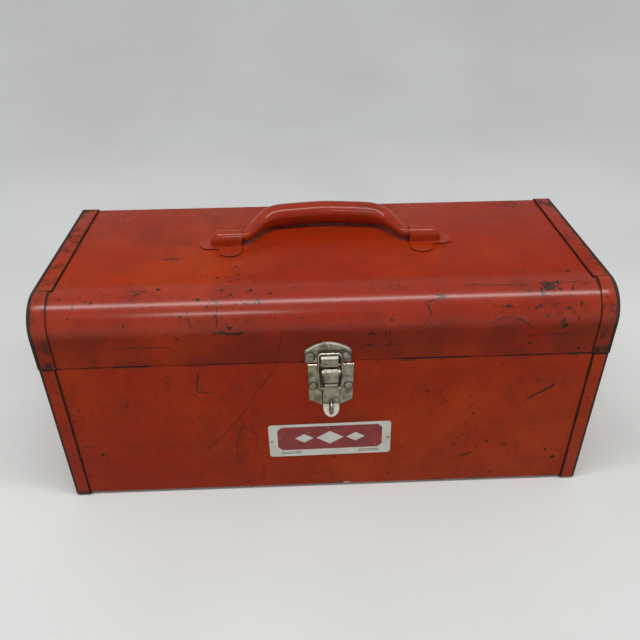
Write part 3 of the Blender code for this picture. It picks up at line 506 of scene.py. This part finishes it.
def seam_edge(g):
    """Bare paint along the lid's lower edge and the body's upper edge."""
    return g.times(g.fade(g.away(g.z, SEAM_Z), 0.0006, 0.0013), g.band(g.noise(30.0, 4.0), 0.47, 0.57))


def body_sheet_edges(g):
    # Painted shadow and soiling in a line next to each end pan's flange, and the worn seam edge.
    return g.largest(flange_shade_and_soil(g, BODY_FLANGE_X, SHADE_AND_SOIL_LINE), seam_edge(g))


def lid_sheet_edges(g):
    """Painted shadow and soiling in a line next to the end pans, wider where their flanges draw back at the
    top of the curve.
    """
    drawn_back = g.times(g.band(g.z, TOP_Z - ARC_RADIUS * 0.75, TOP_Z), g.fade(g.y, CREST_Y - 0.001, CREST_Y))
    wedge = g.times(flange_shade_and_soil(g, LID_FLANGE_X + 0.0033, 0.0020), drawn_back)
    top = g.times(flange_shade_and_soil(g, LID_FLANGE_X, SHADE_AND_SOIL_LINE), g.band(g.y, CREST_Y - 0.001, CREST_Y))
    skirt = g.times(flange_shade_and_soil(g, LID_FLANGE_X + 0.0015, SHADE_AND_SOIL_LINE), g.fade(g.y, CREST_Y - 0.001, CREST_Y))
    return g.largest(wedge, top, skirt, seam_edge(g))


def end_edges(outer_x, inner_x, width):
    """The worn bend at the outside of an end pan and the bare cut edge of its flange."""
    def edges(g):
        reach = g.math("ABSOLUTE", g.x)
        waver = g.math("MULTIPLY", g.math("SUBTRACT", g.noise(70.0, 4.0), 0.5), 0.0016)
        ragged = g.math("ADD", reach, waver)
        bend = g.times(g.band(ragged, outer_x - width, outer_x - width * 0.75),
                       g.fade(g.math("ABSOLUTE", g.facing[0]), 0.85, 0.97))
        lip = g.fade(g.math("SUBTRACT", ragged, inner_x), 0.0004, 0.0010)
        return g.largest(bend, lip, seam_edge(g))
    return edges


def lid_end_marks(g):
    """Smudges all over the flanges, thickest low down at the front, where hands lift the lid."""
    on_flange = g.fade(g.math("ABSOLUTE", g.facing[0]), 0.5, 0.8)
    smudges = g.times(g.band(g.noise(55.0, 5.0, 0.7), 0.46, 0.62), on_flange, 0.7)
    low = g.times(g.fade(g.z, SEAM_Z + 0.005, SEAM_Z + 0.011),
                  g.band(g.noise(70.0, 4.0), 0.40, 0.52),
                  g.fade(g.y, FRONT_Y + 0.002, FRONT_Y + 0.004))
    return g.times(g.largest(smudges, g.times(low, 0.85), end_marks(g)), outside(g))


def end_marks(g):
    """Rubbed corners low on the ends and knocks scattered over them."""
    low = g.times(g.fade(g.z, 0.003, 0.010), g.band(g.noise(45.0, 4.0), 0.45, 0.55))
    knocks = g.band(g.noise(52.0, 5.0, 0.7), 0.70, 0.715)
    return g.largest(low, knocks)


# ---------------------------------------------------------------- hardware and print

RIVETS = [f"{plate}_rivet_{side}" for plate in ("strike", "latch_base") for side in ("left", "right")]


def dark_ring_at(g, node):
    """Darker in a ring around the head of a rivet."""
    low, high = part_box(node)
    dx = g.math("SUBTRACT", g.x, (low.x + high.x) / 2)
    dz = g.math("SUBTRACT", g.z, (low.z + high.z) / 2)
    head_radius = (high.x - low.x) / 2
    return g.fade(g.away(g.hypot(dx, dz), head_radius), 0.0003, 0.0008)


def nickel(name, shine=0.0, painted_highlight=None, shade_and_grime=None):
    """Nickel plate gone dull, with scratches, pits and soiling, and a painted highlight on the faces turned
    upwards.

    The highlight argument returns where the piece is painted bright as a painted highlight, and the last
    argument its painted shade and soiling.
    """
    g = Graph(name)
    blotch = g.band(g.noise(140.0, 5.0, 0.65), 0.36, 0.66)
    colour = g.mix(blotch, NICKEL, NICKEL_DULL)
    lines = g.noise(1.0, 2.0, place=g.stretch((1500.0, 200.0, 90.0), (0, radians(24), 0)))
    scratch = g.band(lines, 0.64, 0.70)
    colour = g.mix(g.times(scratch, 0.5), colour, NICKEL_SCRATCH_AND_HIGHLIGHT)
    # Painted highlight: faces turned upwards are painted towards bright nickel, standing in for the overhead
    # light's reflection.
    up = g.band(g.facing[2], 0.25, 0.6)
    colour = g.mix(g.times(up, 0.7), colour, NICKEL_SCRATCH_AND_HIGHLIGHT)
    # Painted highlight: where the given mask says, the nickel is painted bright.
    if painted_highlight:
        colour = g.mix(painted_highlight(g), colour, NICKEL_SCRATCH_AND_HIGHLIGHT)
    pits = g.band(g.noise(700.0, 3.0), 0.66, 0.70)
    rings = [dark_ring_at(g, rivet) for rivet in RIVETS]
    dirt_and_shade = g.largest(pits, g.band(g.noise(230.0, 4.0, 0.6), 0.62, 0.70), *rings)
    # The given mask adds painted shade and soiling.
    if shade_and_grime:
        dirt_and_shade = g.largest(dirt_and_shade, shade_and_grime(g))
    # Pits, soiling, the rivet rings and painted shade darken the nickel.
    colour = g.mix(g.times(dirt_and_shade, 0.8), colour, GRIME_AND_SHADE)
    roughness = g.blend(blotch, 0.30 - shine, 0.50 - shine)
    roughness = g.blend(dirt_and_shade, roughness, 0.8)
    normal = g.bump(g.math("SUBTRACT", g.times(scratch, 0.4), dirt_and_shade), 0.00008, 0.8)
    normal = g.bump(g.noise(60.0, 2.0), 0.0012, 0.25, normal)
    return g.finish(colour, roughness, g.blend(dirt_and_shade, 1.0, 0.3), normal)


def plate_shade_and_stain(g):
    """Painted shadow on the plates behind the bail and next to the lever's tongue, and a stain above the
    bail's bar.
    """
    aside = g.away(g.x, LATCH_X)
    lever_half = (LEVER_HIGH.x - LEVER_LOW.x) / 2
    bail_inside = (BAIL_HIGH.x - BAIL_LOW.x) / 2 - BAIL_WIRE
    # Painted shadow behind the bail, between the lever and the bail's legs.
    behind = g.times(g.band(aside, lever_half - 0.0012, lever_half - 0.0006),
                     g.fade(aside, bail_inside, bail_inside + 0.0006),
                     g.band(g.z, BAIL_LOW.z, BAIL_LOW.z + 0.002),
                     g.fade(g.z, BAIL_HIGH.z - BAIL_WIRE, BAIL_HIGH.z - BAIL_WIRE * 0.8))
    # Painted shadow next to the lever's tongue.
    beside_tongue = g.times(g.fade(aside, lever_half + 0.0004, lever_half + 0.0012),
                            g.fade(g.z, BAIL_LOW.z, BAIL_LOW.z + 0.001))
    above = g.fade(g.away(g.z, BAIL_HIGH.z + 0.0006), 0.0006, 0.0016)
    stain = g.times(above, g.fade(aside, 0.0100, 0.0125), 0.9)
    on_plate = g.band(g.y, BODY_LOW.y - 0.0023, BODY_LOW.y - 0.0019)
    return g.times(g.largest(behind, beside_tongue, stain), on_plate)


def strike_rim_highlight(g):
    """The raised rim along the strike's arch, painted towards bright nickel in broken stretches: a painted
    highlight where the rim catches the overhead light.
    """
    return g.times(g.band(g.z, STRIKE_TOP_Z - 0.0088, STRIKE_TOP_Z - 0.0080),
                   g.fade(g.y, BODY_LOW.y - 0.0023, BODY_LOW.y - 0.0021),
                   g.band(g.noise(180.0, 3.0), 0.30, 0.60))


def lever_tip_highlight(g):
    """The flared end of the lever, painted bright nickel: a painted highlight where the tip catches the
    light.
    """
    return g.fade(g.z, LEVER_LOW.z + 0.0095, LEVER_LOW.z + 0.0100)


def lever_creases(g):
    """Darker in the creases above the flare and under the block."""
    creases = [(0.0104, 0.0006), (0.0122, 0.0004), (0.0333, 0.0020)]  # height above the tip, half width
    dirty = [g.fade(g.away(g.z, LEVER_LOW.z + rise), half * 0.5, half) for rise, half in creases]
    return g.largest(*dirty)


def hinge_wear(g):
    """Bare steel along the knuckles, where the leaves have rubbed."""
    return g.times(g.fade(g.away(g.z, SEAM_Z), 0.0010, 0.0022), g.band(g.noise(85.0, 4.0), 0.42, 0.50))


def bare_steel(name):
    """The hinge pin: dull steel with rust."""
    g = Graph(name)
    rust = g.band(g.noise(80.0, 5.0, 0.7), 0.48, 0.62)
    colour = g.mix(rust, STEEL, RUST)
    normal = g.bump(g.noise(400.0, 3.0), 0.0001, 0.5)
    return g.finish(colour, g.blend(rust, 0.36, 0.75), g.blend(rust, 1.0, 0.1), normal)


def name_metal():
    """The nameplate's brushed silver ground, spotted with age."""
    g = Graph("name_silver")
    brushed = g.noise(1.0, 2.0, place=g.stretch((30.0, 30.0, 2400.0)))
    spots = g.band(g.noise(330.0, 3.0, 0.6), 0.66, 0.71)
    yellow = g.band(g.noise(60.0, 4.0), 0.40, 0.70)
    colour = g.mix(yellow, SILVER, SILVER_YELLOWED)
    colour = g.mix(g.times(spots, 0.75), colour, GRIME_AND_SHADE)
    roughness = g.blend(brushed, 0.34, 0.55)
    return g.finish(colour, roughness, g.blend(spots, 0.45, 0.0), g.bump(brushed, 0.00003, 0.5))


def print_ink(name, ink):
    """Printed colour on the nameplate, rubbed thin in places."""
    g = Graph(name)
    rubbed = g.band(g.noise(420.0, 4.0, 0.6), 0.66, 0.72)
    tone = g.band(g.noise(90.0, 4.0), 0.35, 0.7)
    darker = tuple(channel * 0.72 for channel in ink[:3]) + (1.0,)
    colour = g.mix(tone, ink, darker)
    colour = g.mix(g.times(rubbed, 0.7), colour, SILVER)
    return g.finish(colour, g.blend(tone, 0.28, 0.42), 0.0, g.bump(g.noise(800.0, 2.0), 0.00003, 0.4))


# ---------------------------------------------------------------- pieces

def merged_copy(node, name):
    """The node's mesh as a new object, with its triangles merged back into flat faces."""
    bm = bmesh.new()
    bm.from_mesh(frame["nodes"][node].data)
    bmesh.ops.remove_doubles(bm, verts=bm.verts, dist=1e-6)
    bmesh.ops.dissolve_limit(bm, angle_limit=radians(0.6), verts=bm.verts, edges=bm.edges)
    points = [tuple(vert.co) for vert in bm.verts]
    bm.verts.index_update()
    faces = [[vert.index for vert in face.verts] for face in bm.faces]
    bm.free()
    mesh = bpy.data.meshes.new(name)
    mesh.from_pydata(points, [], faces)
    piece = bpy.data.objects.new(name, mesh)
    bpy.context.scene.collection.objects.link(piece)
    return piece


def body_holding(node):
    return next(body for body, nodes in frame["record"]["behaviour"]["bodies"].items() if node in nodes)


def dress(node, material, rounding=0.00025, segments=2, smooth=32, levels=0):
    """Stand a finer copy of a CAD node in its place: edges rounded as pressed metal's are."""
    piece = merged_copy(node, f"{node}_skin")
    mesh = piece.data
    mesh.materials.append(material)
    mesh.shade_smooth()
    mesh.set_sharp_from_angle(angle=radians(smooth))
    if levels:
        fine = piece.modifiers.new("fine", "SUBSURF")
        fine.levels = levels
        fine.render_levels = levels
    if rounding:
        bevel = piece.modifiers.new("rounding", "BEVEL")
        bevel.width = rounding
        bevel.segments = segments
        bevel.limit_method = "ANGLE"
        bevel.angle_limit = radians(smooth)
        bevel.harden_normals = True
    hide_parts(node)
    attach(piece, body_holding(node))


def dress_sheets():
    """The folded sheets and the end pans."""
    front = enamel("enamel_body_front", front_marks, body_sheet_edges, crowding=-0.11, primer=front_primer)
    dress("body_wrap", front)
    top = enamel("enamel_lid", lid_marks, lid_sheet_edges, crowding=-0.01, shine=curve_shine)
    dress("lid_wrap", top)
    body_ends = enamel("enamel_body_ends", end_marks, end_edges(BODY_END_X, BODY_FLANGE_X, 0.0028))
    lid_edges = end_edges(LID_END_X, LID_FLANGE_X, 0.0040)
    lid_ends = enamel("enamel_lid_ends", lid_end_marks, lid_edges, shine=curve_shine)
    for side in ("left", "right"):
        dress(f"body_end_{side}", body_ends)
        dress(f"lid_end_{side}", lid_ends)


def ridge_wear(g):
    """Paint knocked off in a broken line along the upper rear side, which meets everything first."""
    ridge = g.times(g.band(g.facing[1], 0.30, 0.45), g.fade(g.facing[1], 0.75, 0.9),
                    g.band(g.facing[2], 0.1, 0.3))
    return g.times(ridge, g.band(g.noise(150.0, 5.0, 0.7), 0.45, 0.48))


def foot_edge_shade(g):
    """Painted shade: the upright edge faces around a bracket's foot, and its open end, painted near black."""
    low = g.fade(g.z, FOOT_Z + 0.0009, FOOT_Z + 0.0010)
    upright = g.fade(g.math("ABSOLUTE", g.facing[2]), 0.85, 0.98)
    return g.times(low, upright)


def dress_handle():
    """The handle and its two brackets."""
    painted = enamel("enamel_handle", ridge_wear, coat=HANDLE_COAT)
    dress("handle", painted, rounding=0, smooth=70, levels=1)
    paint = enamel("enamel_brackets", ridge_wear, foot_edge_shade, coat=HANDLE_COAT)
    for side in ("left", "right"):
        dress(f"handle_bracket_{side}", paint, rounding=0.0003, smooth=38)


def dress_hardware():
    """The latch, its rivets and staple, and the hinge."""
    plates = {"strike_plate": nickel("nickel_strike", painted_highlight=strike_rim_highlight, shade_and_grime=plate_shade_and_stain),
              "latch_base_plate": nickel("nickel_base", shade_and_grime=plate_shade_and_stain)}
    bright = nickel("nickel_bright", shine=0.08)
    for node, plated in plates.items():
        dress(node, plated, rounding=0.00045, segments=3)
    lever = nickel("nickel_lever", shine=0.04, painted_highlight=lever_tip_highlight, shade_and_grime=lever_creases)
    dress("latch_lever", lever, rounding=0.0004, segments=3)
    pins = ["nameplate_pin_left", "nameplate_pin_right"]
    for node in ["latch_bail", "hasp_staple", "latch_lever_pin", *RIVETS, *pins]:
        dress(node, bright, rounding=0.00008, smooth=50)
    painted = enamel("enamel_hinge", hinge_wear)
    for node in ("hinge_leaf_body", "hinge_leaf_lid"):
        dress(node, painted, rounding=0.00012, smooth=40)
    dress("hinge_pin", bare_steel("hinge_pin_steel"), rounding=0.00012, smooth=40)


def plate_shape(name, outline, depth, material):
    """A thin printed shape on the nameplate, from (x, z) points about the plate's middle."""
    tilt = radians(0.7)  # the plate's own slight turn
    sunk = 0.00003  # how far the shape reaches into the plate
    turned = [(x * cos(tilt) - z * sin(tilt), x * sin(tilt) + z * cos(tilt)) for x, z in outline]
    corners = [(NAME_MIDDLE.x + x, NAME_LOW.y + sunk, NAME_MIDDLE.z + z) for x, z in turned]
    bm = bmesh.new()
    base = bm.faces.new([bm.verts.new(corner) for corner in corners])
    grown = bmesh.ops.extrude_face_region(bm, geom=[base])
    moved = [item for item in grown["geom"] if isinstance(item, bmesh.types.BMVert)]
    bmesh.ops.translate(bm, verts=moved, vec=(0, -depth - sunk, 0))
    bmesh.ops.recalc_face_normals(bm, faces=bm.faces)
    mesh = bpy.data.meshes.new(name)
    bm.to_mesh(mesh)
    bm.free()
    mesh.materials.append(material)
    piece = bpy.data.objects.new(name, mesh)
    bpy.context.scene.collection.objects.link(piece)
    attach(piece, body_holding("nameplate"))


def rectangle(middle, size):
    x, z = middle
    half_x, half_z = size[0] / 2, size[1] / 2
    return [(x + right * half_x, z + up * half_z) for right, up in ((-1, -1), (1, -1), (1, 1), (-1, 1))]


def dress_nameplate():
    """A plain design of our own: a red panel with cut corners, three lozenges and ruled lines."""
    dress("nameplate", name_metal(), rounding=0.0001)
    red = print_ink("name_red", PRINT_RED)
    black = print_ink("name_black", PRINT_BLACK)
    silver = name_metal()
    half_x, top, bottom, cut = 0.048, 0.0165, -0.0115, 0.004
    panel = [(-half_x + cut, bottom), (half_x - cut, bottom), (half_x, bottom + cut), (half_x, top - cut),
             (half_x - cut, top), (-half_x + cut, top), (-half_x, top - cut), (-half_x, bottom + cut)]
    plate_shape("name_panel", panel, 0.00004, red)
    middle = (top + bottom) / 2
    for i in (-1, 0, 1):
        wide = 0.0125 if i == 0 else 0.0085
        x = i * 0.0235
        tall = wide * 0.62
        lozenge = [(x - wide, middle), (x, middle - tall), (x + wide, middle), (x, middle + tall)]
        plate_shape(f"name_lozenge_{i + 2}", lozenge, 0.00008, silver)
    for i, side in enumerate((-1, 1)):
        for j in range(2):
            rule = rectangle((side * 0.036, -0.0142 - 0.0017 * j), (0.019, 0.0006))
            plate_shape(f"name_rule_{2 * i + j + 1}", rule, 0.00004, black)


# ---------------------------------------------------------------- stage, light and camera

def make_stage():
    """A plain pale floor that curves up all round into a plain pale wall."""
    reach, bend, high = 1.8, 0.8, 1.3  # radius of the wall, of its bend into the floor, and its height
    around, steps = 72, 12  # faces around the wall and up the bend
    quarter = [pi / 2 * i / steps for i in range(steps + 1)]
    line = [(reach - bend + bend * sin(a), bend - bend * cos(a)) for a in quarter] + [(reach, high)]
    floor_z = CAD_BOX[0][2]
    bm = bmesh.new()
    rings = []
    for radius, z in line:
        turns = [2 * pi * k / around for k in range(around)]
        rings.append([bm.verts.new((radius * cos(t), radius * sin(t), floor_z + z)) for t in turns])
    bm.faces.new(rings[0])
    for one, other in zip(rings, rings[1:]):
        for k in range(around):
            bm.faces.new((one[k - 1], one[k], other[k], other[k - 1]))
    bmesh.ops.recalc_face_normals(bm, faces=bm.faces)
    mesh = bpy.data.meshes.new("stage")
    bm.to_mesh(mesh)
    bm.free()
    mesh.shade_smooth()
    g = Graph("stage_cloth")
    tone = g.band(g.noise(2.2, 3.0), 0.3, 0.7)
    mesh.materials.append(g.finish(g.mix(tone, CLOTH, CLOTH_DIM), 0.85))
    stage = bpy.data.objects.new("stage", mesh)
    bpy.context.scene.collection.objects.link(stage)


def area_light(name, place, target, size, power, colour):
    lamp = bpy.data.lights.new(name, "AREA")
    lamp.shape = "RECTANGLE"
    lamp.size, lamp.size_y = size
    lamp.energy = power
    lamp.color = colour
    light = bpy.data.objects.new(name, lamp)
    light.location = place
    aim = Vector(target) - Vector(place)
    light.rotation_euler = aim.to_track_quat("-Z", "Y").to_euler()
    bpy.context.scene.collection.objects.link(light)


def make_light():
    """A long soft light overhead, two from the front, and a surround that is pale above."""
    area_light("overhead", place=(0.0, -0.36, 1.6), target=(0.0, -0.05, 0.15), size=(2.4, 0.22),
               power=20.0, colour=WARM_LIGHT)
    area_light("front_lamp", place=(-0.30, -1.25, 1.25), target=(-0.07, -0.09, 0.20), size=(0.36, 0.14),
               power=2.6, colour=WARMER_LIGHT)
    area_light("front_fill", place=(-0.4, -2.2, 1.9), target=(0.0, 0.0, 0.1), size=(2.0, 1.2),
               power=1.0, colour=COOL_LIGHT)
    world = bpy.data.worlds.new("surround")
    world.use_nodes = True
    tree = world.node_tree
    back = tree.nodes["Background"]
    back.inputs["Color"].default_value = SURROUND
    split = tree.nodes.new("ShaderNodeSeparateXYZ")
    rise = tree.nodes.new("ShaderNodeMapRange")
    rise.inputs["From Min"].default_value = -0.1
    rise.inputs["To Min"].default_value = 0.17
    rise.inputs["To Max"].default_value = 0.54
    tree.links.new(tree.nodes.new("ShaderNodeTexCoord").outputs["Generated"], split.inputs[0])
    tree.links.new(split.outputs["Z"], rise.inputs["Value"])
    tree.links.new(rise.outputs[0], back.inputs["Strength"])
    bpy.context.scene.world = world
    bpy.context.scene.view_settings.view_transform = "Standard"


def make_camera():
    """The camera stands above and in front of the box and looks down at it."""
    place = Vector((-0.0203, -0.5420, 0.4907))
    yaw, pitch, roll = radians(1.874), radians(33.60), radians(-0.64)
    camera = bpy.data.cameras.new("camera")
    camera.lens = 37.115
    camera.sensor_width = 36.0
    camera.clip_start = 0.01
    stand = bpy.data.objects.new("camera", camera)
    turn = Matrix.Rotation(-yaw, 4, "Z") @ Matrix.Rotation(pi / 2 - pitch, 4, "X")
    turn = turn @ Matrix.Rotation(roll, 4, "Z")
    stand.matrix_world = Matrix.Translation(place) @ turn
    bpy.context.scene.collection.objects.link(stand)
    bpy.context.scene.camera = stand


make_camera()
make_stage()
make_light()
dress_sheets()
dress_handle()
dress_hardware()
dress_nameplate()
